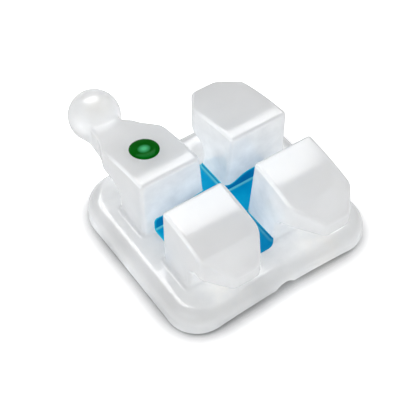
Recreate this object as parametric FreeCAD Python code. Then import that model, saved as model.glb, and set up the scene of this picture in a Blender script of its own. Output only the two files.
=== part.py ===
import FreeCAD, Part
import math
import os

from FreeCAD import Vector

# One-piece ceramic orthodontic bracket. Sizes are in millimetres.
# X runs along the archwire, +Y points to the gum side with the hook, +Z points
# away from the tooth. The origin lies under the crossing of slot and groove, and
# the four corners of the bonding base touch Z = 0.

# Bonding base
BASE_WIDTH = 3.66
BASE_DEPTH = 3.40
BASE_CENTRE_X = 0.02
BASE_CENTRE_Y = 0.10
BASE_TOP = 0.46
CORNER_RADIUS_BITE_SIDE = 0.56
CORNER_RADIUS_GUM_SIDE = 0.68
BASE_RIM_RADIUS = 0.24
BASE_ARCH_ACROSS = 0.15
BASE_ARCH_ALONG = 0.04
CHANNEL_WIDTH = 0.24
CHANNEL_DEPTH = 0.05

# Archwire slot and the groove between the wings
SLOT_WIDTH = 0.56
GROOVE_WIDTH_TOP = 0.60
GROOVE_WIDTH_FLOOR = 0.40

# Tie wings
BODY_WIDTH = 2.77
WING_TOP = 1.62
WING_CROWN_RADIUS = 4.8
WING_REACH_BITE_SIDE = 1.70
WING_REACH_GUM_SIDE = 1.85
WING_TIP_THICKNESS = 0.30
WING_OUTER_CHAMFER_ACROSS = 0.31
WING_OUTER_CHAMFER_ALONG = 0.40
WING_INNER_CHAMFER_ACROSS = 0.31
WING_INNER_CHAMFER_ALONG = 0.46
WING_EDGE_RADIUS = 0.05
UNDERCUT_DEPTH_BITE_SIDE = 0.72
UNDERCUT_DEPTH_GUM_SIDE = 0.87
UNDERCUT_RADIUS = 0.22
FOOT_RADIUS = 0.07

# Hook, which continues the outer gum side wing
BALL_RADIUS = 0.44
HOOK_INSET = 0.455
HOOK_LENGTH = 0.58
HOOK_OVERLAP = 0.60
HOOK_WIDTH = 0.56
HOOK_THICKNESS = 0.46
HOOK_ROOT_UNDERSIDE = 0.80
HOOK_EDGE_RADIUS = 0.08
HOOK_HOLLOW = 0.06
HOOK_WAIST_FLARE = 0.005
HOOK_HEEL_RISE = 0.03
BALL_X = HOOK_INSET - BODY_WIDTH / 2
BALL_Y = WING_REACH_GUM_SIDE + HOOK_LENGTH
BALL_Z = 1.10
HOOK_ROOT_Y = WING_REACH_GUM_SIDE - HOOK_OVERLAP

# Placement dye in the slot and groove
DYE_THICKNESS = 0.02
DYE_SLOT_LENGTH = 2.30
DYE_GROOVE_LENGTH = 2.10
DYE_SLOT_HEIGHT = 0.32
DYE_GROOVE_HEIGHT = 0.14

# Identification dot, set in from the outer side of the hook wing and clear of the hook
DOT_DIAMETER = 0.47
DOT_CROWN = 0.05
DOT_SECTORS = 8
DOT_INSET = 0.52
DOT_CLEARANCE = 0.025
DOT_X = DOT_INSET - BODY_WIDTH / 2
DOT_Y = HOOK_ROOT_Y - DOT_CLEARANCE - DOT_DIAMETER / 2

# Angle between two faces above which their edge counts as sharp, in degrees
SHARP_ANGLE = 10
# Heights closer than this count as equal
LEVEL_TOLERANCE = 1e-4
# How far outside the body's sides an edge still counts as one of its feet
FOOT_MARGIN = 0.01


def prism(points, direction):
    """Solid swept from a closed flat outline."""
    wire = Part.makePolygon(points + [points[0]])
    return Part.Face(wire).extrude(direction)


def crown_height(y):
    """Height of the labial surface at a distance from the slot."""
    return WING_TOP - WING_CROWN_RADIUS + math.sqrt(WING_CROWN_RADIUS ** 2 - y ** 2)


def rounded_plate(centre, width, depth, corners, bottom, top):
    """Plate seen from above with a corner radius for its bite side and its gum side."""
    corner_point = Vector(centre.x - width / 2, centre.y - depth / 2, bottom)
    plate = Part.makeBox(width, depth, top - bottom, corner_point)
    for side_y, corner in zip((-1, 1), corners):
        upright = []
        for edge in plate.Edges:
            box = edge.BoundBox
            full_height = abs(box.ZLength - (top - bottom)) < LEVEL_TOLERANCE
            at_corner = side_y * (box.YMin - centre.y) > depth / 2 - LEVEL_TOLERANCE
            if full_height and at_corner:
                upright.append(edge)
        plate = plate.makeFillet(corner, upright)
    return plate


def drop_from_peak(x, y, across, along):
    """How far the tooth falls away from its highest point at a place on it."""
    ring = along - across + math.sqrt(across ** 2 - x ** 2)
    return along - math.sqrt(ring ** 2 - y ** 2)


def tooth_surface():
    """Body of the tooth that the underside fits, and the ridge that leaves its channel."""
    half_width = BASE_WIDTH / 2
    half_depth = BASE_DEPTH / 2
    across = (half_width ** 2 + BASE_ARCH_ACROSS ** 2) / (2 * BASE_ARCH_ACROSS)
    along = (half_depth ** 2 + BASE_ARCH_ALONG ** 2) / (2 * BASE_ARCH_ALONG)
    corner_x = half_width - CORNER_RADIUS_BITE_SIDE
    corner_y = half_depth - CORNER_RADIUS_BITE_SIDE
    drops = []
    for degree in range(91):
        x = corner_x + CORNER_RADIUS_BITE_SIDE * math.cos(math.radians(degree))
        y = corner_y + CORNER_RADIUS_BITE_SIDE * math.sin(math.radians(degree))
        drops.append(drop_from_peak(x, y, across, along))
    peak = max(drops)
    side_height = peak - across + math.sqrt(across ** 2 - BASE_WIDTH ** 2)
    left = Vector(-BASE_WIDTH, 0, side_height)
    right = Vector(BASE_WIDTH, 0, side_height)
    down = Vector(0, 0, -BASE_WIDTH)
    edges = [
        Part.Arc(left, Vector(0, 0, peak), right).toShape(),
        Part.makeLine(right, right + down),
        Part.makeLine(right + down, left + down),
        Part.makeLine(left + down, left),
    ]
    face = Part.Face(Part.Wire(edges))
    axis_point = Vector(0, 0, peak - along)
    half_turn = math.degrees(math.asin(BASE_DEPTH / along))
    face.rotate(axis_point, Vector(1, 0, 0), -half_turn)
    tooth = face.revolve(axis_point, Vector(1, 0, 0), 2 * half_turn)
    tooth.translate(Vector(BASE_CENTRE_X, BASE_CENTRE_Y, 0))
    radius = (CHANNEL_WIDTH ** 2 / 4 + CHANNEL_DEPTH ** 2) / (2 * CHANNEL_DEPTH)
    ridge_start = Vector(0, BASE_CENTRE_Y - BASE_DEPTH, peak + CHANNEL_DEPTH - radius)
    ridge = Part.makeCylinder(radius, 2 * BASE_DEPTH, ridge_start, Vector(0, 1, 0))
    return tooth, ridge


def base_pad(grow=0.0):
    """Bonding base with a rounded rim."""
    top = BASE_TOP + grow
    centre = Vector(BASE_CENTRE_X, BASE_CENTRE_Y, 0)
    corners = (CORNER_RADIUS_BITE_SIDE, CORNER_RADIUS_GUM_SIDE)
    plate = rounded_plate(centre, BASE_WIDTH, BASE_DEPTH, corners, 0, top)
    rim = [edge for edge in plate.Edges if edge.BoundBox.ZMin > top - LEVEL_TOLERANCE]
    return plate.makeFillet(BASE_RIM_RADIUS, rim)


def sharp_edges(solid):
    """Edges where two faces meet at an angle, without the smooth joins."""
    found = []
    for edge in solid.Edges:
        faces = solid.ancestorsOfType(edge, Part.Face)
        middle = edge.valueAt((edge.FirstParameter + edge.LastParameter) / 2)
        normals = [face.normalAt(*face.Surface.parameter(middle)) for face in faces]
        if len(normals) == 2 and normals[0].getAngle(normals[1]) > math.radians(SHARP_ANGLE):
            found.append(edge)
    return found


def wing_plan(reach, grow):
    """Outline of one wing seen from above, in the quadrant where X and Y are positive."""
    inner_top = GROOVE_WIDTH_TOP / 2 - grow
    outer = BODY_WIDTH / 2 + grow
    slot = SLOT_WIDTH / 2 - grow
    tip = reach + grow
    return [
        Vector(0, slot, 0),
        Vector(outer, slot, 0),
        Vector(outer, tip - WING_OUTER_CHAMFER_ALONG, 0),
        Vector(outer - WING_OUTER_CHAMFER_ACROSS, tip, 0),
        Vector(inner_top + WING_INNER_CHAMFER_ACROSS, tip, 0),
        Vector(0, tip - WING_INNER_CHAMFER_ALONG * (1 + inner_top / WING_INNER_CHAMFER_ACROSS), 0),
    ]


def wing_profile(reach, undercut, grow):
    """Side view of one wing: slot wall, crowned top, tip and undercut."""
    slot = SLOT_WIDTH / 2 - grow
    tip = reach + grow
    neck = reach - undercut + grow
    middle = (slot + tip) / 2
    tip_top = crown_height(reach) + grow
    tip_bottom = crown_height(reach) - WING_TIP_THICKNESS - grow
    crown_start = Vector(0, slot, crown_height(SLOT_WIDTH / 2) + grow)
    crown_middle = Vector(0, middle, crown_height(middle) + grow)
    crown_end = Vector(0, tip, tip_top)
    tip_corner = Vector(0, tip, tip_bottom)
    roof_end = Vector(0, neck + UNDERCUT_RADIUS, tip_bottom)
    bend = Vector(
        0,
        neck + UNDERCUT_RADIUS * (1 - math.sqrt(0.5)),
        tip_bottom - UNDERCUT_RADIUS * (1 - math.sqrt(0.5)),
    )
    neck_top = Vector(0, neck, tip_bottom - UNDERCUT_RADIUS)
    neck_foot = Vector(0, neck, BASE_TOP / 2)
    slot_foot = Vector(0, slot, BASE_TOP / 2)
    edges = [
        Part.Arc(crown_start, crown_middle, crown_end).toShape(),
        Part.makeLine(crown_end, tip_corner),
        Part.makeLine(tip_corner, roof_end),
        Part.Arc(roof_end, bend, neck_top).toShape(),
        Part.makeLine(neck_top, neck_foot),
        Part.makeLine(neck_foot, slot_foot),
        Part.makeLine(slot_foot, crown_start),
    ]
    return Part.Face(Part.Wire(edges))


def wing(side_x, side_y, grow=0.0):
    """One tie wing with its neck, rounded on every edge that shows."""
    if side_y > 0:
        reach = WING_REACH_GUM_SIDE
        undercut = UNDERCUT_DEPTH_GUM_SIDE
    else:
        reach = WING_REACH_BITE_SIDE
        undercut = UNDERCUT_DEPTH_BITE_SIDE
    column = prism(wing_plan(reach, grow), Vector(0, 0, WING_TOP + 2 * grow))
    side = wing_profile(reach, undercut, grow).extrude(Vector(BODY_WIDTH, 0, 0))
    solid = column.common(side)
    groove_top = GROOVE_WIDTH_TOP / 2 - grow
    groove_floor = GROOVE_WIDTH_FLOOR / 2 - grow
    slope = (groove_top - groove_floor) / (WING_TOP - BASE_TOP)
    below = groove_floor - slope * BASE_TOP
    groove = prism(
        [
            Vector(-BODY_WIDTH, -BODY_WIDTH, 0),
            Vector(below, -BODY_WIDTH, 0),
            Vector(groove_top + slope * WING_TOP, -BODY_WIDTH, 2 * WING_TOP),
            Vector(-BODY_WIDTH, -BODY_WIDTH, 2 * WING_TOP),
        ],
        Vector(0, 2 * BODY_WIDTH, 0),
    )
    solid = solid.cut(groove)
    radius = WING_EDGE_RADIUS + grow
    shown = [edge for edge in sharp_edges(solid) if edge.BoundBox.ZMax > BASE_TOP]
    solid = solid.makeFillet(radius, shown)
    if side_x < 0:
        solid = solid.mirror(Vector(0, 0, 0), Vector(1, 0, 0))
    if side_y < 0:
        solid = solid.mirror(Vector(0, 0, 0), Vector(0, 1, 0))
    return solid


def winged_base(grow=0.0):
    """Base with its four wings and the fillets round their feet."""
    solid = base_pad(grow)
    for side_x in (-1, 1):
        for side_y in (-1, 1):
            solid = solid.fuse(wing(side_x, side_y, grow))
    solid = solid.removeSplitter()
    foot_height = BASE_TOP + grow
    feet = []
    for edge in solid.Edges:
        box = edge.BoundBox
        level = max(abs(box.ZMin - foot_height), abs(box.ZMax - foot_height)) < LEVEL_TOLERANCE
        inside = max(abs(box.XMin), abs(box.XMax)) < BODY_WIDTH / 2 + FOOT_MARGIN
        if level and inside:
            feet.append(edge)
    return solid.makeFillet(FOOT_RADIUS - grow, feet)


def tangent_arc(start, direction, end):
    """Arc that leaves a point in a given direction and runs to another point."""
    chord = end - start
    side = chord - direction * chord.dot(direction)
    side.normalize()
    radius = chord.dot(chord) / (2 * chord.dot(side))
    centre = start + side * radius
    middle = start + chord / 2 - centre
    middle.normalize()
    return Part.Arc(start, centre + middle * radius, end).toShape()


def hook():
    """Arm that runs on smoothly from the outer gum side wing, its ball, and its heel."""
    outer = -BODY_WIDTH / 2
    root = HOOK_ROOT_Y
    left_tip = BALL_X - HOOK_WIDTH / 2
    right_tip = BALL_X + HOOK_WIDTH / 2
    wing_inner_tip = -(GROOVE_WIDTH_TOP / 2 + WING_INNER_CHAMFER_ACROSS)
    left_root = Vector(outer, root, 0)
    left_shoulder = Vector((outer + left_tip) / 2 + HOOK_HOLLOW, (root + BALL_Y) / 2, 0)
    left_end = Vector(left_tip, BALL_Y, 0)
    right_end = Vector(right_tip, BALL_Y, 0)
    right_waist = Vector(right_tip + HOOK_WAIST_FLARE, BALL_Y - BALL_RADIUS, 0)
    right_root = Vector(wing_inner_tip, WING_REACH_GUM_SIDE - WING_EDGE_RADIUS, 0)
    inner_root = Vector(wing_inner_tip, root, 0)
    edges = [
        Part.Arc(left_root, left_shoulder, left_end).toShape(),
        Part.makeLine(left_end, right_end),
        Part.Arc(right_end, right_waist, right_root).toShape(),
        Part.makeLine(right_root, inner_root),
        Part.makeLine(inner_root, left_root),
    ]
    column = Part.Face(Part.Wire(edges)).extrude(Vector(0, 0, WING_TOP))
    far_left = outer - BALL_RADIUS
    lean = math.asin(root / WING_CROWN_RADIUS)
    top_root = Vector(far_left, root, crown_height(root))
    top_end = Vector(far_left, BALL_Y, BALL_Z + HOOK_THICKNESS / 4)
    bottom_end = top_end - Vector(0, 0, HOOK_THICKNESS)
    bottom_root = Vector(far_left, root, HOOK_ROOT_UNDERSIDE)
    side_edges = [
        tangent_arc(top_root, Vector(0, math.cos(lean), -math.sin(lean)), top_end),
        Part.makeLine(top_end, bottom_end),
        Part.makeLine(bottom_end, bottom_root),
        Part.makeLine(bottom_root, top_root),
    ]
    side = Part.Face(Part.Wire(side_edges)).extrude(Vector(BODY_WIDTH, 0, 0))
    arm = column.common(side)
    long_edges = [edge for edge in arm.Edges if edge.BoundBox.YLength > BALL_RADIUS]
    arm = arm.makeFillet(HOOK_EDGE_RADIUS, long_edges)
    ball = Part.makeSphere(BALL_RADIUS, Vector(BALL_X, BALL_Y, BALL_Z))
    neck = WING_REACH_GUM_SIDE - UNDERCUT_DEPTH_GUM_SIDE
    heel_bottom = HOOK_ROOT_UNDERSIDE + HOOK_HEEL_RISE
    heel = Part.makeBox(
        wing_inner_tip - outer - 2 * HOOK_EDGE_RADIUS,
        root - neck + 2 * UNDERCUT_RADIUS,
        crown_height(root) - WING_TIP_THICKNESS - heel_bottom,
        Vector(outer + HOOK_EDGE_RADIUS, neck - UNDERCUT_RADIUS, heel_bottom),
    )
    return [arm, ball, heel]


def bracket_body():
    """The whole ceramic moulding."""
    tooth, ridge = tooth_surface()
    solid = winged_base().fuse(hook()).removeSplitter()
    return solid.cut(tooth).cut(ridge)


def dyed_region():
    """Cross over the slot and groove that the dye covers."""
    floor = BASE_TOP - DYE_THICKNESS
    slot_top = BASE_TOP + DYE_SLOT_HEIGHT
    groove_top = BASE_TOP + DYE_GROOVE_HEIGHT
    slot = Part.makeBox(
        DYE_SLOT_LENGTH,
        SLOT_WIDTH + 2 * WING_EDGE_RADIUS,
        slot_top - floor,
        Vector(-DYE_SLOT_LENGTH / 2, -SLOT_WIDTH / 2 - WING_EDGE_RADIUS, floor),
    )
    end_radius = GROOVE_WIDTH_TOP / 2 - DYE_THICKNESS
    groove = rounded_plate(
        Vector(0, 0, 0),
        GROOVE_WIDTH_TOP,
        DYE_GROOVE_LENGTH,
        (end_radius, end_radius),
        floor,
        groove_top,
    )
    return slot.fuse(groove)


def slot_marking(body):
    """Thin film of dye on the floors and lower walls of slot and groove."""
    film = winged_base(DYE_THICKNESS).common(dyed_region())
    return film.cut(body)


def id_dot(body):
    """Domed enamel dot on the hook wing."""
    lean = math.asin(DOT_Y / WING_CROWN_RADIUS)
    normal = Vector(0, math.sin(lean), math.cos(lean))
    seat = Vector(DOT_X, DOT_Y, crown_height(DOT_Y))
    radius = DOT_DIAMETER / 2
    dome_radius = (radius ** 2 + DOT_CROWN ** 2) / (2 * DOT_CROWN)
    dome = Part.makeSphere(dome_radius, seat - normal * (dome_radius - DOT_CROWN))
    reach = radius + DOT_CLEARANCE
    height = 2 * DOT_CROWN
    foot = seat - normal * DOT_CROWN / 2
    column = Part.makeCylinder(reach, height, foot, normal)
    dot = dome.common(column).cut(body)
    turn = 360 / DOT_SECTORS
    sectors = []
    for index in range(DOT_SECTORS):
        wedge = Part.makeCylinder(reach, height, foot, normal, turn)
        wedge.rotate(foot, normal, index * turn)
        sectors.append(dot.common(wedge))
    return sectors[0].fuse(sectors[1:])


def main():
    body = bracket_body()
    nodes = {
        "bracket_body": body,
        "slot_marking": slot_marking(body),
        "id_dot": id_dot(body),
    }
    os.makedirs("parts", exist_ok=True)
    for name, shape in nodes.items():
        shape.exportStep("parts/" + name + ".step")


main()
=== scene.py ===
import math

import bpy
import numpy as np
from mathutils import Matrix, Vector


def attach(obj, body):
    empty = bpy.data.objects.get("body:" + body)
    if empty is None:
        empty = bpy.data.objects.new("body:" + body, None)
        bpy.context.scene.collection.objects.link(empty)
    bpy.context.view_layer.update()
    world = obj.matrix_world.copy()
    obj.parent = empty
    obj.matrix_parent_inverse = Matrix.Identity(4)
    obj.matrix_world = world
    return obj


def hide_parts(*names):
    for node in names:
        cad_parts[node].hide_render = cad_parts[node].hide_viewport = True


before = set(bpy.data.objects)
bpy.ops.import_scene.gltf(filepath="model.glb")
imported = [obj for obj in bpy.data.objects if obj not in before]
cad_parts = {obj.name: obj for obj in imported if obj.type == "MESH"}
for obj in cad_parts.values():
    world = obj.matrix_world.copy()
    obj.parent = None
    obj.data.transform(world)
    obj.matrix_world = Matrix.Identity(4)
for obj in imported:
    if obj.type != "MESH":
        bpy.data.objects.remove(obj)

# Ceramic orthodontic bracket. Forms are worked out in millimetres and placed in metres.
# +X runs along the archwire slot, +Y to the gum side with the hook, +Z away from the tooth.
MM = 0.001

# Bonding base
BASE_CENTRE = (0.02, 0.10)
BASE_HALF_WIDTH = 1.83
BASE_HALF_DEPTH = 1.70
BASE_TOP = 0.46
CORNER_RADIUS_BITE_SIDE = 0.56
CORNER_RADIUS_GUM_SIDE = 0.68
BASE_RIM_RADIUS = 0.24
BASE_LOWER_EDGE = 0.05
ARCH_ACROSS = 0.15
ARCH_ALONG = 0.04
UNDERSIDE_PEAK = 0.176
CHANNEL_HALF_WIDTH = 0.12
CHANNEL_DEPTH = 0.05

# Slot, groove and wings
SLOT_HALF = 0.28
GROOVE_HALF_TOP = 0.30
GROOVE_HALF_FLOOR = 0.20
BODY_HALF = 1.385
WING_TOP = 1.62
CROWN_RADIUS = 4.8
REACH_BITE_SIDE = 1.70
REACH_GUM_SIDE = 1.85
NECK_REACH = 0.98
TIP_THICKNESS = 0.30
OUTER_CHAMFER = (0.31, 0.40)
INNER_CHAMFER = (0.31, 0.46)
TIP_CORNER_RADIUS = 0.16
EDGE_RADIUS = 0.065
UNDERCUT_RADIUS = 0.22
FOOT_RADIUS = 0.08

# Hook
BALL_CENTRE = (-0.93, 2.43, 1.10)
BALL_RADIUS = 0.44
HOOK_ROOT_Y = 1.25
HOOK_HALF_WIDTH = 0.28
HOOK_THICKNESS = 0.46
HOOK_ROOT_UNDERSIDE = 0.80
HOOK_EDGE_RADIUS = 0.09
HEEL_Y = (0.76, 1.47)
HEEL_Z = (0.83, 1.17)
HOOK_HOLLOW = 0.06
HOOK_SETBACK = 0.03
HOOK_WAIST = 0.03
HOOK_SEAM_RADIUS = 0.05
HOOK_BLEND_RADII = (0.03, 0.12)
HOOK_BLEND_START = 1.35
HOOK_BLEND_LENGTH = 0.20
HEEL_EDGE_RADIUS = 0.04
HEEL_BLEND_RADIUS = 0.06

# Dye and dot
DYE_THICKNESS = 0.016
DYE_SLOT_HALF = 1.155
DYE_SLOT_CENTRE = -0.03
DYE_SLOT_CLIMB = 0.29
DYE_SLOT_WAVE = 0.012
DYE_SLOT_ROUNDING = 0.1
DYE_GROOVE_HALF = 0.27
DYE_GROOVE_END = 1.05
DYE_GROOVE_TIP_RADIUS = 0.2
DYE_GROOVE_TIP_FLAT_HALF = 0.06
DYE_GROOVE_CLIMB = 0.10
DYE_GROOVE_WAVE = 0.01
DYE_GROOVE_ROUNDING = 0.04
DYE_RIM_WIDTH = 0.045
DOT_CENTRE = (-0.865, 0.99)
DOT_RADIUS = 0.235
DOT_STRETCH = 1.17
DOT_CROWN = 0.045
COATING_GAP = 0.001

# Where the dye's border in the slot dips and rises: place along X, width and height
DYE_SWELLS = ((0.24, 0.26, -0.135), (-0.2, 0.3, 0.06))

# Meshes: cell size, and the box that holds each one
BODY_CELL = 0.026
BODY_BOX = ((-1.83, -1.72, -0.01), (1.87, 2.89, 1.63))
DYE_CELL = 0.015
DYE_BOX = ((-1.25, -1.1, 0.42), (1.2, 1.1, 0.85))
# The dye's mesh starts as a skin this far to both sides of the ceramic's surface
DYE_SKIN = 1.3 * DYE_CELL

# Places in the materials
# Painted warm light: caustics on the base under the front wing tips, and a warm highlight on the ball
WARM_PAINTED_CAUSTICS = ((-0.8, -1.35, 0.45), (0.9, -1.45, 0.45))
WARM_PAINTED_CAUSTIC_RADIUS = 0.6
WARM_PAINTED_BALL_HIGHLIGHT = (-0.93, 2.3, 1.45)
WARM_PAINTED_BALL_HIGHLIGHT_RADIUS = 0.3
# Reach of the ball's clearer ceramic and its painted glow, then a painted caustic at the ball's lower left
BALL_CLEAR_AND_PAINTED_GLOW_RADIUS = 0.7
PAINTED_CAUSTIC_CENTRE = (-1.3, 2.23, 1.23)
PAINTED_CAUSTIC_RADIUS = 0.2
# Heights over which the painted edge highlight fades in
PAINTED_EDGE_HIGHLIGHT_HEIGHTS = (1.40, 1.50)
# Span along Y of the painted shade at the dye's bite side end
DYE_PAINTED_SHADE_SPAN = (-1.0, -0.4)
# Offset and reach of the painted highlight on the dot
DOT_PAINTED_HIGHLIGHT_SHIFT = (-0.02, -0.03)
DOT_PAINTED_HIGHLIGHT_RADIUS = 0.13

# Camera, fitted to the photo's edges: angles in degrees, lens as on a 36 mm film
CAMERA_AZIMUTH = -34.635
CAMERA_ELEVATION = 49.918
CAMERA_ROLL = -0.269
CAMERA_TARGET = (-0.45816, 0.06164, 0.92)
CAMERA_DISTANCE = 16.59772
CAMERA_LENS = 95.729
FILM_WIDTH = 36

# Room
FLOOR_HALF = 400
LAMP_DISTANCE = 60
LAMP_TARGET = (0, 0, 1.3)
WORLD_LEVEL = 0.92
WORLD_LEVEL_TO_CAMERA = 1.05
WORLD_SHARE_IN_REFLECTIONS = 0.15


# Distance fields: negative inside, positive outside


def round_and(radius, *fields):
    """Common part of several fields with its outer edges rounded."""
    spill = np.sqrt(sum(np.maximum(field + radius, 0) ** 2 for field in fields))
    return np.minimum(np.maximum.reduce(fields), -radius) + spill


def round_or(radius, first, second):
    """Union of two fields with a fillet where they meet."""
    gap = np.sqrt(np.maximum(radius - first, 0) ** 2 + np.maximum(radius - second, 0) ** 2)
    return np.maximum(np.minimum(first, second), radius) - gap


def half_plane(u, v, start, end):
    """Distance to the right of the line from start to end, in the plane of u and v."""
    du, dv = end[0] - start[0], end[1] - start[1]
    return ((u - start[0]) * dv - (v - start[1]) * du) / math.hypot(du, dv)


def crown_height(y):
    """Height of the crowned wing tops at a distance from the slot."""
    return WING_TOP - CROWN_RADIUS + np.sqrt(CROWN_RADIUS ** 2 - y ** 2)


def underside_field(x, y, z):
    """Material above the doubly curved underside and its central channel."""
    across = (BASE_HALF_WIDTH ** 2 + ARCH_ACROSS ** 2) / (2 * ARCH_ACROSS)
    along = (BASE_HALF_DEPTH ** 2 + ARCH_ALONG ** 2) / (2 * ARCH_ALONG)
    from_axis = np.hypot(y - BASE_CENTRE[1], z - UNDERSIDE_PEAK + along)
    tooth = across - np.hypot(x - BASE_CENTRE[0], from_axis - along + across)
    radius = (CHANNEL_HALF_WIDTH ** 2 + CHANNEL_DEPTH ** 2) / (2 * CHANNEL_DEPTH)
    channel = radius - np.hypot(x, z - UNDERSIDE_PEAK - CHANNEL_DEPTH + radius)
    return round_and(BASE_LOWER_EDGE, tooth, channel)


def base_field(x, y, z):
    """Bonding base with its rounded rim, without the underside."""
    corner = np.where(y > BASE_CENTRE[1], CORNER_RADIUS_GUM_SIDE, CORNER_RADIUS_BITE_SIDE)
    over_x = np.abs(x - BASE_CENTRE[0]) - BASE_HALF_WIDTH + corner
    over_y = np.abs(y - BASE_CENTRE[1]) - BASE_HALF_DEPTH + corner
    outside = np.hypot(np.maximum(over_x, 0), np.maximum(over_y, 0))
    plan = outside + np.minimum(np.maximum(over_x, over_y), 0) - corner
    return round_and(BASE_RIM_RADIUS, plan, z - BASE_TOP)


def rounded_polygon(u, v, corners, radius):
    """Exact distance to a convex outline, given anticlockwise, with its corners rounded."""
    inset = []
    for before, here, after in zip(corners[-1:] + corners[:-1], corners, corners[1:] + corners[:1]):
        sides = []
        for start, end in ((before, here), (here, after)):
            length = math.dist(start, end)
            sides.append(((end[1] - start[1]) / length, (start[0] - end[0]) / length))
        offsets = [nx * here[0] + ny * here[1] - radius for nx, ny in sides]
        inset.append(np.linalg.solve(np.array(sides), np.array(offsets)))
    inside = -np.inf
    nearest = np.inf
    for start, end in zip(inset, inset[1:] + inset[:1]):
        inside = np.maximum(inside, half_plane(u, v, start, end))
        du, dv = end - start
        share = ((u - start[0]) * du + (v - start[1]) * dv) / (du ** 2 + dv ** 2)
        share = np.clip(share, 0, 1)
        nearest = np.minimum(nearest, np.hypot(u - start[0] - share * du, v - start[1] - share * dv))
    return np.where(inside > 0, nearest, inside) - radius


def wing_sides(x, y, z, reach):
    """One tie wing without its top, in the quadrant where x and y are positive."""
    inner_x = GROOVE_HALF_TOP + INNER_CHAMFER[0]
    far = -BODY_HALF
    outline = [
        (far, 2 * far),
        (BODY_HALF, 2 * far),
        (BODY_HALF, reach - OUTER_CHAMFER[1]),
        (BODY_HALF - OUTER_CHAMFER[0], reach),
        (inner_x, reach),
        (far, reach - (inner_x - far) * INNER_CHAMFER[1] / INNER_CHAMFER[0]),
    ]
    plan = rounded_polygon(x, y, outline, TIP_CORNER_RADIUS)
    groove = half_plane(x, z, (GROOVE_HALF_TOP, WING_TOP), (GROOVE_HALF_FLOOR, BASE_TOP))
    tip_bottom = crown_height(reach) - TIP_THICKNESS
    undercut = round_or(UNDERCUT_RADIUS, tip_bottom - z, y - NECK_REACH)
    return round_and(EDGE_RADIUS, plan, SLOT_HALF - y, groove, undercut)


def circle_through(a, b, c):
    """Centre and radius of the circle through three points of a plane."""
    a, b, c = (np.array(point, float) for point in (a, b, c))
    rows = np.array([b - a, c - a])
    centre = np.linalg.solve(rows, (rows * (np.array([b + a, c + a]) / 2)).sum(axis=1))
    return centre, np.linalg.norm(centre - a)


def tangent_circle(start, direction, end):
    """Centre and radius of the circle that leaves start in a direction and meets end."""
    start, direction, end = (np.array(point, float) for point in (start, direction, end))
    chord = end - start
    side = chord - direction * chord.dot(direction)
    side /= np.linalg.norm(side)
    radius = chord.dot(chord) / (2 * chord.dot(side))
    return start + side * radius, radius


def arm_sides(x, y, z):
    """Hook arm without its top, which starts inside the outer gum side wing."""
    ball_x, ball_y, ball_z = BALL_CENTRE
    left_tip, right_tip = ball_x - HOOK_HALF_WIDTH, ball_x + HOOK_HALF_WIDTH
    shoulder = ((left_tip - BODY_HALF) / 2 + HOOK_HOLLOW, (HOOK_ROOT_Y + ball_y) / 2)
    left_root = (-BODY_HALF + HOOK_SETBACK, HOOK_ROOT_Y)
    centre, radius = circle_through(left_root, shoulder, (left_tip, ball_y))
    left = radius - np.hypot(x - centre[0], y - centre[1])
    waist = (right_tip - HOOK_WAIST, ball_y - BALL_RADIUS)
    root = (-GROOVE_HALF_TOP - INNER_CHAMFER[0], REACH_GUM_SIDE - EDGE_RADIUS)
    centre, radius = circle_through((right_tip, ball_y), waist, root)
    right = radius - np.hypot(x - centre[0], y - centre[1])
    right = np.maximum(right, x - root[0])
    tip_underside = (ball_y, ball_z - 3 * HOOK_THICKNESS / 4)
    bottom = half_plane(y, z, (HOOK_ROOT_Y, HOOK_ROOT_UNDERSIDE), tip_underside)
    arm = round_and(HOOK_EDGE_RADIUS, left, right, bottom)
    arm = np.maximum.reduce([arm, HOOK_ROOT_Y - y, y - ball_y])
    heel_x = np.abs(x - (root[0] - BODY_HALF) / 2) - (root[0] + BODY_HALF) / 2 + HOOK_EDGE_RADIUS
    heel_y = np.maximum(HEEL_Y[0] - y, y - HEEL_Y[1])
    heel_z = np.maximum(HEEL_Z[0] - z, z - HEEL_Z[1])
    heel = round_and(HEEL_EDGE_RADIUS, heel_x, heel_y, heel_z)
    return round_or(HEEL_BLEND_RADIUS, arm, heel)


def arm_top(y, z):
    """Upper side of the arm, which leaves the crowned wing top without a kink."""
    lean = math.asin(HOOK_ROOT_Y / CROWN_RADIUS)
    start = (HOOK_ROOT_Y, float(crown_height(HOOK_ROOT_Y)))
    end = (BALL_CENTRE[1], BALL_CENTRE[2] + HOOK_THICKNESS / 4)
    centre, radius = tangent_circle(start, (math.cos(lean), -math.sin(lean)), end)
    return radius - np.hypot(y - centre[0], z - centre[1])


def body_field(x, y, z):
    """The whole ceramic."""
    wings = np.minimum(
        wing_sides(np.abs(x), y, z, REACH_GUM_SIDE),
        wing_sides(np.abs(x), -y, z, REACH_BITE_SIDE),
    )
    share = np.clip((y - HOOK_BLEND_START) / HOOK_BLEND_LENGTH, 0, 1)
    blend = HOOK_BLEND_RADII[0] + (HOOK_BLEND_RADII[1] - HOOK_BLEND_RADII[0]) * share
    wings = round_or(blend, wings, arm_sides(x, y, z))
    crown = np.hypot(y, z - WING_TOP + CROWN_RADIUS) - CROWN_RADIUS
    top = np.where((x < 0) & (y > HOOK_ROOT_Y), arm_top(y, z), crown)
    wings = round_and(EDGE_RADIUS, wings, top)
    ball_x, ball_y, ball_z = BALL_CENTRE
    ball = np.sqrt((x - ball_x) ** 2 + (y - ball_y) ** 2 + (z - ball_z) ** 2) - BALL_RADIUS
    wings = round_or(HOOK_SEAM_RADIUS, wings, ball)
    solid = round_or(FOOT_RADIUS, base_field(x, y, z), wings)
    return round_and(BASE_LOWER_EDGE, solid, underside_field(x, y, z))


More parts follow.
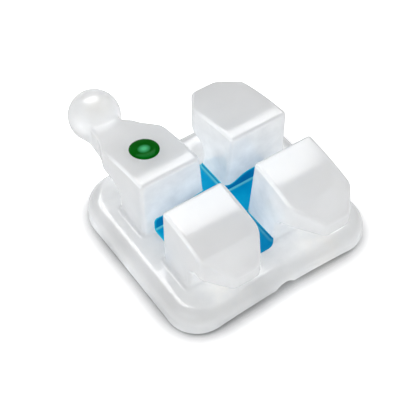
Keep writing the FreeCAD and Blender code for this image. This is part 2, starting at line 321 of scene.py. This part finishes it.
def dye_limit(x, y, z):
    """Distance to the border of the stained area, which climbs the slot walls unevenly."""
    climb = DYE_SLOT_CLIMB
    for place, width, height in DYE_SWELLS:
        climb = climb + height * np.exp(-(((x - place) / width) ** 2))
    climb = climb + DYE_SLOT_WAVE * np.sin(9 * x + 1.3) * np.cos(5 * x - 4 * y)
    past_end = np.abs(x - DYE_SLOT_CENTRE) - DYE_SLOT_HALF
    past_wall = np.abs(y) - SLOT_HALF - EDGE_RADIUS
    slot = round_and(DYE_SLOT_ROUNDING, np.maximum(past_end, past_wall), z - BASE_TOP - climb)
    into_tip = np.maximum(np.abs(y) - DYE_GROOVE_END + DYE_GROOVE_TIP_RADIUS, 0)
    middle = np.hypot(x, into_tip) - DYE_GROOVE_HALF + DYE_GROOVE_WAVE * np.sin(13 * y)
    past_flat = np.maximum(np.abs(x) - DYE_GROOVE_TIP_FLAT_HALF, 0)
    tip = np.hypot(past_flat, into_tip) - DYE_GROOVE_TIP_RADIUS
    plan = np.where(into_tip > 0, tip, middle)
    groove = round_and(DYE_GROOVE_ROUNDING, plan, z - BASE_TOP - DYE_GROOVE_CLIMB)
    return np.minimum(slot, groove)


def dye_field(x, y, z):
    """Skin over the stained area, with half its thickness sunk into the ceramic."""
    body = body_field(x, y, z)
    return np.maximum(np.abs(body) - DYE_SKIN, dye_limit(x, y, z))


# Meshes


def gradient(field, points, step=0.0015):
    """Slope of a field at each point, along the three axes."""
    columns = []
    for axis in range(3):
        shift = np.zeros(3)
        shift[axis] = step
        ahead = field(*(points + shift).T)
        behind = field(*(points - shift).T)
        columns.append((ahead - behind) / (2 * step))
    return np.stack(columns, axis=1)


def bend_of(field, points, step=0.008):
    """How sharply the surface bends, per millimetre: positive on outer edges."""
    total = -6 * field(*points.T)
    for axis in range(3):
        shift = np.zeros(3)
        shift[axis] = step
        total += field(*(points + shift).T) + field(*(points - shift).T)
    return total / step ** 2


def surface_net(field, low, high, cell):
    """Even quad mesh of a field's zero surface."""
    axes = [np.arange(a - 1.5 * cell, b + 2.5 * cell, cell) for a, b in zip(low, high)]
    grid = np.stack(np.meshgrid(*axes, indexing="ij"), axis=-1)
    value = field(grid[..., 0], grid[..., 1], grid[..., 2])
    inside = value < 0
    shape = np.array(value.shape) - 1
    total = np.zeros((*shape, 3))
    count = np.zeros(shape)
    crossings = []
    for axis in range(3):
        first = [slice(None)] * 3
        second = [slice(None)] * 3
        first[axis] = slice(None, -1)
        second[axis] = slice(1, None)
        first, second = tuple(first), tuple(second)
        cut = inside[first] != inside[second]
        a, b = value[first][cut], value[second][cut]
        share = (a / (a - b))[:, None]
        place = grid[first][cut] * (1 - share) + grid[second][cut] * share
        index = np.argwhere(cut)
        others = [k for k in range(3) if k != axis]
        for step_a in (0, 1):
            for step_b in (0, 1):
                home = index.copy()
                home[:, others[0]] -= step_a
                home[:, others[1]] -= step_b
                fits = ((home >= 0) & (home < shape)).all(axis=1)
                cells = tuple(home[fits].T)
                np.add.at(total, cells, place[fits])
                np.add.at(count, cells, 1)
        crossings.append((axis, index, inside[first][cut]))
    used = count > 0
    number = np.full(shape, -1)
    number[used] = np.arange(used.sum())
    points = total[used] / count[used][:, None]
    quads = []
    for axis, index, leaving in crossings:
        b, c = (axis + 1) % 3, (axis + 2) % 3
        corners = []
        for back_b, back_c in ((1, 1), (0, 1), (0, 0), (1, 0)):
            home = index.copy()
            home[:, b] -= back_b
            home[:, c] -= back_c
            corners.append(number[tuple(home.T)])
        quad = np.stack(corners, axis=1)
        quad[~leaving] = quad[~leaving][:, ::-1]
        quads.append(quad)
    return points, np.concatenate(quads)


def settle(field, points, rounds=5, most=0.4 * BODY_CELL):
    """Moves points onto the zero surface and gives the surface directions there."""
    for _ in range(rounds):
        slope = gradient(field, points)
        steep = np.maximum((slope ** 2).sum(axis=1), 0.2)
        step = np.clip(field(*points.T) / steep, -most, most)
        points = points - slope * step[:, None]
    slope = gradient(field, points)
    return points, slope / np.linalg.norm(slope, axis=1)[:, None]


def make_piece(name, node, points, faces, normals=None):
    """Smooth piece that stands for a CAD node, from points in millimetres."""
    mesh = bpy.data.meshes.new(name)
    mesh.from_pydata((points * MM).tolist(), [], faces)
    mesh.validate()
    mesh.polygons.foreach_set("use_smooth", [True] * len(mesh.polygons))
    if normals is not None:
        mesh.normals_split_custom_set_from_vertices(normals.tolist())
    piece = bpy.data.objects.new(name, mesh)
    bpy.context.scene.collection.objects.link(piece)
    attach(piece, "root")
    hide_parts(node)
    return piece


def add_measure(piece, name, values):
    """Stores one number a vertex, which the piece's material reads."""
    piece.data.attributes.new(name, "FLOAT", "POINT").data.foreach_set("value", values)


def make_body():
    """The ceramic, with how sharply its surface bends."""
    points, quads = surface_net(body_field, *BODY_BOX, BODY_CELL)
    points, normals = settle(body_field, points)
    piece = make_piece("bracket_ceramic", "bracket_body", points, quads.tolist(), normals)
    add_measure(piece, "bend", bend_of(body_field, points))
    return piece


def make_dye():
    """The dye, pressed from a skin to its real thickness, with its nearness to the border."""
    points, quads = surface_net(dye_field, *DYE_BOX, DYE_CELL)
    for _ in range(2):
        points, _ = settle(dye_field, points, rounds=1, most=0.2 * DYE_CELL)
    height = body_field(*points.T)
    _, normals = settle(body_field, points, rounds=0)
    share = np.clip(height / (2 * DYE_SKIN) + 0.5, 0, 1)
    wanted = COATING_GAP + (DYE_THICKNESS - COATING_GAP) * share
    points = points + normals * (wanted - height)[:, None]
    piece = make_piece("placement_dye", "slot_marking", points, quads.tolist())
    rim = np.clip(1 + dye_limit(*points.T) / DYE_RIM_WIDTH, 0, 1)
    add_measure(piece, "rim", rim)
    return piece


def make_dot():
    """The domed dot: a crowned upper side and a flat seat that share their rim."""
    rings, spokes = 20, 72
    lean = math.asin(DOT_CENTRE[1] / CROWN_RADIUS)
    normal = np.array([0, math.sin(lean), math.cos(lean)])
    along = np.array([0, math.cos(lean), -math.sin(lean)])
    points = []
    for side in (1, 0):
        for ring in range(rings + 1):
            share = math.sin(ring / rings * math.pi / 2)
            rise = DOT_CROWN * math.sqrt(1 - share ** 4) * side
            for spoke in range(spokes if ring else 1):
                angle = spoke / spokes * 2 * math.pi
                x = DOT_CENTRE[0] + DOT_RADIUS * share * math.cos(angle)
                y = DOT_CENTRE[1] + DOT_RADIUS * DOT_STRETCH * share * math.sin(angle) * along[1]
                if ring < rings or side:
                    foot = np.array([x, y, float(crown_height(y)) + COATING_GAP])
                    points.append(foot + normal * rise)
    faces = []
    size = 1 + rings * spokes

    def at(side, ring, spoke):
        if ring == rings:
            side = 0
        start = side * size
        return start if ring == 0 else start + 1 + (ring - 1) * spokes + spoke % spokes

    for side in (0, 1):
        for spoke in range(spokes):
            faces.append([at(side, 0, 0), at(side, 1, spoke), at(side, 1, spoke + 1)][:: 1 - 2 * side])
            for ring in range(1, rings):
                quad = [at(side, ring, spoke), at(side, ring + 1, spoke)]
                quad += [at(side, ring + 1, spoke + 1), at(side, ring, spoke + 1)]
                faces.append(quad[:: 1 - 2 * side])
    return make_piece("dot_enamel", "id_dot", np.array(points), faces)


# Materials


class Nodes:
    """Short way to add and join the nodes of one material."""

    def __init__(self, name):
        self.material = bpy.data.materials.new(name)
        self.material.use_nodes = True
        self.tree = self.material.node_tree
        self.tree.nodes.clear()

    def add(self, kind, inputs=None, **settings):
        node = self.tree.nodes.new(kind)
        for key, value in settings.items():
            setattr(node, key, value)
        for key, value in (inputs or {}).items():
            if isinstance(value, bpy.types.NodeSocket):
                self.tree.links.new(value, node.inputs[key])
            else:
                node.inputs[key].default_value = value
        return node

    def noise(self, place, scale, detail=3.0, roughness=0.5):
        values = {"Vector": place, "Scale": scale, "Detail": detail, "Roughness": roughness}
        return self.add("ShaderNodeTexNoise", values).outputs["Fac"]

    def spread(self, value, low, high, start=0.3, end=0.7):
        """Takes a value from the range start to end over to the range low to high."""
        names = {"Value": value, "From Min": start, "From Max": end, "To Min": low, "To Max": high}
        return self.add("ShaderNodeMapRange", names).outputs["Result"]

    def blend(self, share, first, second):
        """Mix of two colours."""
        names = {"Factor": share, "A": first, "B": second}
        node = self.tree.nodes.new("ShaderNodeMix")
        node.data_type = "RGBA"
        for key, value in names.items():
            fitting = [s for s in node.inputs if s.name == key and s.type in ("RGBA", "VALUE")]
            socket = next(s for s in fitting if s.enabled)
            if isinstance(value, bpy.types.NodeSocket):
                self.tree.links.new(value, socket)
            else:
                socket.default_value = value
        return next(s for s in node.outputs if s.type == "RGBA")

    def maths(self, operation, first, second=0.0):
        node = self.add("ShaderNodeMath", {0: first, 1: second}, operation=operation)
        return node.outputs[0]

    def finish(self, surface):
        self.add("ShaderNodeOutputMaterial", {"Surface": surface})
        return self.material


def glow_near(nodes, place, centre, radius):
    """1 at a point of the object and 0 beyond a radius, both in millimetres."""
    ends = {0: place, 1: Vector(centre) * MM}
    distance = nodes.add("ShaderNodeVectorMath", ends, operation="DISTANCE")
    return nodes.spread(distance.outputs["Value"], 1.0, 0.0, 0.0, radius * MM)


def paint_warm_light(nodes, place, cloud):
    """Share of painted warm light: painted caustics on the base under the front wing tips, broken up by
    the cloud, and a painted warm highlight on the ball.
    """
    warm_painted_light = 0.0
    for centre in WARM_PAINTED_CAUSTICS:
        warm_painted_light = nodes.maths("ADD", warm_painted_light, glow_near(nodes, place, centre, WARM_PAINTED_CAUSTIC_RADIUS))
    warm_painted_light = nodes.maths("MULTIPLY", warm_painted_light, nodes.spread(cloud, 0.0, 0.8, 0.4, 0.6))
    return nodes.maths("ADD", warm_painted_light, glow_near(nodes, place, WARM_PAINTED_BALL_HIGHLIGHT, WARM_PAINTED_BALL_HIGHLIGHT_RADIUS))


def painted_edge_highlight(nodes, geometry):
    """Painted highlight: emission along the sharply bent upper left edges of the wings, fading out lower
    down.
    """
    bend = nodes.add("ShaderNodeAttribute", attribute_name="bend").outputs["Fac"]
    # Painted highlight on outer edges that face left and up
    light = nodes.spread(bend, 0.0, 0.22, 5.0, 12.0)
    facing = nodes.add("ShaderNodeSeparateXYZ", {0: geometry.outputs["Normal"]})
    left_and_up = nodes.maths("MULTIPLY", facing.outputs["X"], facing.outputs["Z"])
    light = nodes.maths("MULTIPLY", light, nodes.spread(left_and_up, 1.0, 0.0, -0.45, -0.2))
    height = nodes.add("ShaderNodeSeparateXYZ", {0: geometry.outputs["Position"]}).outputs["Z"]
    from_height, full_height = (value * MM for value in PAINTED_EDGE_HIGHLIGHT_HEIGHTS)
    return nodes.maths("MULTIPLY", light, nodes.spread(height, 0.0, 1.0, from_height, full_height))


def ceramic():
    """Cloudy alumina that scatters light inside, with painted glow in its hollows and ball, painted
    highlights on its upper left edges and painted warm light on the base and ball.
    """
    nodes = Nodes("translucent_alumina")
    geometry = nodes.add("ShaderNodeNewGeometry")
    place = geometry.outputs["Position"]
    cloud = nodes.noise(place, 1500.0, 4.0, 0.55)
    fine = nodes.noise(place, 9000.0, 3.0, 0.6)
    warm_painted_light = paint_warm_light(nodes, place, cloud)
    tint = nodes.blend(nodes.spread(cloud, 0.0, 1.0), (0.94, 0.955, 0.98, 1), (0.98, 0.985, 0.995, 1))
    # Painted warm light, in the base colour and in the colour of the painted glow
    tint = nodes.blend(warm_painted_light, tint, (0.92, 0.89, 0.84, 1))
    bump = nodes.add("ShaderNodeBump", {"Strength": 0.015, "Distance": 0.00002, "Height": fine})
    # Painted glow: emission that brightens the hollows, more where ambient occlusion is deeper, patchy
    # with the cloud
    open_sky = nodes.add("ShaderNodeAmbientOcclusion", {"Distance": 0.0012}).outputs["AO"]
    painted_glow = nodes.spread(open_sky, 0.18, 0.0, 0.0, 1.0)
    painted_glow = nodes.maths("MULTIPLY", painted_glow, nodes.spread(cloud, 0.3, 1.8, 0.35, 0.65))
    painted_glow = nodes.maths("ADD", painted_glow, painted_edge_highlight(nodes, geometry))
    in_ball = glow_near(nodes, place, BALL_CENTRE, BALL_CLEAR_AND_PAINTED_GLOW_RADIUS)
    clearness = nodes.maths("ADD", 0.18, nodes.maths("MULTIPLY", in_ball, 0.4))
    painted_caustic = glow_near(nodes, place, PAINTED_CAUSTIC_CENTRE, PAINTED_CAUSTIC_RADIUS)
    # Painted glow in the ball and a painted caustic beside it
    glow = nodes.maths("ADD", nodes.maths("MULTIPLY", in_ball, 0.10), nodes.maths("MULTIPLY", painted_caustic, 0.12))
    painted_glow = nodes.maths("ADD", painted_glow, glow)
    surface = nodes.add(
        "ShaderNodeBsdfPrincipled",
        {
            "Base Color": tint,
            "Roughness": nodes.spread(fine, 0.08, 0.13),
            "IOR": 1.76,
            "Normal": bump.outputs["Normal"],
            "Subsurface Weight": 1.0,
            "Subsurface Radius": (1.0, 1.0, 1.05),
            "Subsurface Scale": 0.0016,
            "Transmission Weight": clearness,
            "Emission Color": nodes.blend(warm_painted_light, (0.95, 0.985, 1.0, 1), (1.0, 0.92, 0.78, 1)),
            "Emission Strength": painted_glow,
        },
        subsurface_method="RANDOM_WALK",
    )
    return nodes.finish(surface.outputs["BSDF"])


def dye():
    """Blue dye: painted light on the floor and the bends, lighter at the border, painted shade at the bite
    side end.
    """
    nodes = Nodes("blue_placement_dye")
    geometry = nodes.add("ShaderNodeNewGeometry")
    place = geometry.outputs["Position"]
    streaks = nodes.spread(nodes.noise(place, 2600.0, 4.0, 0.6), 0.0, 1.0)
    grain = nodes.noise(place, 12000.0, 2.0)
    level = nodes.add("ShaderNodeSeparateXYZ", {0: geometry.outputs["Normal"]}).outputs["Z"]
    # Lit and shaded copies of the dye: lighter where the surface faces up, darker on the walls
    shaded_wall_colour = nodes.blend(streaks, (0.000, 0.26, 0.58, 1), (0.001, 0.36, 0.70, 1))
    lit_floor_colour = nodes.blend(streaks, (0.000, 0.42, 0.80, 1), (0.002, 0.52, 0.88, 1))
    colour = nodes.blend(nodes.spread(level, 0.0, 1.0, 0.6, 0.95), shaded_wall_colour, lit_floor_colour)
    # Painted highlight: light cyan where the dye bends from wall to floor
    from_bend = nodes.maths("ABSOLUTE", nodes.maths("SUBTRACT", level, 0.6))
    bend = nodes.spread(from_bend, 0.9, 0.0, 0.1, 0.33)
    colour = nodes.blend(bend, colour, (0.20, 0.85, 0.95, 1))
    rim = nodes.add("ShaderNodeAttribute", attribute_name="rim").outputs["Fac"]
    colour = nodes.blend(nodes.maths("MULTIPLY", rim, 0.7), colour, (0.03, 0.68, 0.88, 1))
    # Painted shade towards the bite side end of the groove
    along = nodes.add("ShaderNodeSeparateXYZ", {0: place}).outputs["Y"]
    deepest_shade_at, plain_from = (value * MM for value in DYE_PAINTED_SHADE_SPAN)
    painted_end_shade = nodes.spread(along, 0.75, 0.0, deepest_shade_at, plain_from)
    colour = nodes.blend(painted_end_shade, colour, (0.000, 0.20, 0.50, 1))
    bump = nodes.add("ShaderNodeBump", {"Strength": 0.1, "Distance": 0.00002, "Height": grain})
    surface = nodes.add(
        "ShaderNodeBsdfPrincipled",
        {
            "Base Color": colour,
            "Roughness": nodes.spread(grain, 0.30, 0.42),
            "Specular IOR Level": 0.15,
            "Specular Tint": (0.05, 0.6, 1.0, 1),
            "Normal": bump.outputs["Normal"],
        },
    )
    return nodes.finish(surface.outputs["BSDF"])


def enamel():
    """Green enamel with a painted highlight in its middle."""
    nodes = Nodes("green_enamel")
    place = nodes.add("ShaderNodeNewGeometry").outputs["Position"]
    cloud = nodes.noise(place, 7000.0, 3.0)
    share = nodes.spread(cloud, 0.0, 1.0)
    colour = nodes.blend(share, (0.0002, 0.105, 0.002, 1), (0.0005, 0.140, 0.005, 1))
    # Painted highlight: lighter green near the top of the dome
    middle_x, middle_y = (at + shift for at, shift in zip(DOT_CENTRE, DOT_PAINTED_HIGHLIGHT_SHIFT))
    middle = (middle_x, middle_y, crown_height(middle_y) + DOT_CROWN)
    light = glow_near(nodes, place, middle, DOT_PAINTED_HIGHLIGHT_RADIUS)
    colour = nodes.blend(nodes.spread(light, 0.0, 0.9, 0.15, 0.8), colour, (0.11, 0.68, 0.30, 1))
    bump = nodes.add("ShaderNodeBump", {"Strength": 0.08, "Distance": 0.00002, "Height": cloud})
    surface = nodes.add(
        "ShaderNodeBsdfPrincipled",
        {
            "Base Color": colour,
            "Roughness": nodes.spread(cloud, 0.14, 0.22),
            "Specular IOR Level": 0.15,
            "Specular Tint": (0.05, 1.0, 0.3, 1),
            "Normal": bump.outputs["Normal"],
        },
    )
    return nodes.finish(surface.outputs["BSDF"])


# Room


def seen_directly(nodes):
    """1 for rays that come straight from the camera or through the ceramic."""
    path = nodes.add("ShaderNodeLightPath")
    return nodes.maths("MAXIMUM", path.outputs["Is Camera Ray"], path.outputs["Is Transmission Ray"])


def make_floor():
    """White floor with a painted shadow in the crease under the object."""
    mesh = bpy.data.meshes.new("floor")
    half = FLOOR_HALF * MM
    corners = [(-half, -half, 0), (half, -half, 0), (half, half, 0), (-half, half, 0)]
    mesh.from_pydata(corners, [], [(0, 1, 2, 3)])
    floor = bpy.data.objects.new("floor", mesh)
    bpy.context.scene.collection.objects.link(floor)
    nodes = Nodes("white_floor")
    # Painted shadow: ambient occlusion darkens the floor's colour close to the object
    painted_contact_shadow = nodes.add("ShaderNodeAmbientOcclusion", {"Distance": 0.0004}).outputs["AO"]
    painted_contact_shadow = nodes.maths("POWER", painted_contact_shadow, 1.6)
    shaded = nodes.blend(painted_contact_shadow, (0.05, 0.05, 0.05, 1), (1.9, 1.9, 1.9, 1))
    colour = nodes.blend(seen_directly(nodes), (0.88, 0.88, 0.89, 1), shaded)
    matt = nodes.add("ShaderNodeBsdfDiffuse", {"Color": colour})
    floor.data.materials.append(nodes.finish(matt.outputs[0]))


def make_world():
    """White surroundings, darker where the object reflects them."""
    world = bpy.data.worlds.new("studio")
    bpy.context.scene.world = world
    world.use_nodes = True
    tree = world.node_tree
    tree.nodes.clear()
    path = tree.nodes.new("ShaderNodeLightPath")
    direct = tree.nodes.new("ShaderNodeMapRange")
    direct.inputs["To Min"].default_value = WORLD_LEVEL
    direct.inputs["To Max"].default_value = WORLD_LEVEL_TO_CAMERA
    mirrored = tree.nodes.new("ShaderNodeMapRange")
    mirrored.inputs["To Min"].default_value = 1.0
    mirrored.inputs["To Max"].default_value = WORLD_SHARE_IN_REFLECTIONS
    strength = tree.nodes.new("ShaderNodeMath")
    strength.operation = "MULTIPLY"
    background = tree.nodes.new("ShaderNodeBackground")
    output = tree.nodes.new("ShaderNodeOutputWorld")
    tree.links.new(path.outputs["Is Camera Ray"], direct.inputs["Value"])
    tree.links.new(path.outputs["Is Glossy Ray"], mirrored.inputs["Value"])
    tree.links.new(direct.outputs["Result"], strength.inputs[0])
    tree.links.new(mirrored.outputs["Result"], strength.inputs[1])
    tree.links.new(strength.outputs["Value"], background.inputs["Strength"])
    tree.links.new(background.outputs["Background"], output.inputs["Surface"])


def make_softbox(name, direction, width, height, brightness, lights_matt=True):
    """Rectangular light aimed at the object, with its width along X and its sides in metres."""
    light = bpy.data.lights.new(name, "AREA")
    light.shape = "RECTANGLE"
    light.size = width
    light.size_y = height
    light.energy = brightness * math.pi * width * height
    lamp = bpy.data.objects.new(name, light)
    bpy.context.scene.collection.objects.link(lamp)
    back = Vector(direction).normalized()
    side = (Vector((1, 0, 0)) - back * back.x).normalized()
    up = back.cross(side)
    turn = Matrix((side, up, back)).transposed().to_4x4()
    lamp.matrix_world = Matrix.Translation((Vector(LAMP_TARGET) + back * LAMP_DISTANCE) * MM) @ turn
    lamp.visible_diffuse = lights_matt


def make_camera():
    """Camera that sees the object as the photo does."""
    azimuth = math.radians(CAMERA_AZIMUTH)
    elevation = math.radians(CAMERA_ELEVATION)
    roll = math.radians(CAMERA_ROLL)
    target = Vector(CAMERA_TARGET) * MM
    back = Vector(
        (
            math.sin(azimuth) * math.cos(elevation),
            -math.cos(azimuth) * math.cos(elevation),
            math.sin(elevation),
        )
    )
    side = Vector((math.cos(azimuth), math.sin(azimuth), 0))
    up = back.cross(side)
    right = side * math.cos(roll) + up * math.sin(roll)
    above = up * math.cos(roll) - side * math.sin(roll)
    camera = bpy.data.objects.new("camera", bpy.data.cameras.new("camera"))
    camera.data.sensor_width = FILM_WIDTH
    camera.data.lens = CAMERA_LENS
    camera.data.clip_start = 0.0005
    camera.data.clip_end = 2.0
    turn = Matrix((right, above, back)).transposed().to_4x4()
    camera.matrix_world = Matrix.Translation(target + back * CAMERA_DISTANCE * MM) @ turn
    bpy.context.scene.collection.objects.link(camera)
    bpy.context.scene.camera = camera


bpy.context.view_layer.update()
make_body().data.materials.append(ceramic())
make_dye().data.materials.append(dye())
make_dot().data.materials.append(enamel())
make_floor()
make_world()
make_softbox(
    "softbox",
    direction=(0.125, 0.512, 0.854),
    width=0.050,
    height=0.0375,
    brightness=3.6,
    lights_matt=False,
)
make_softbox("fill", direction=(-0.85, -0.25, 0.45), width=0.050, height=0.050, brightness=0.5)
make_camera()
bpy.context.scene.view_settings.view_transform = "Standard"
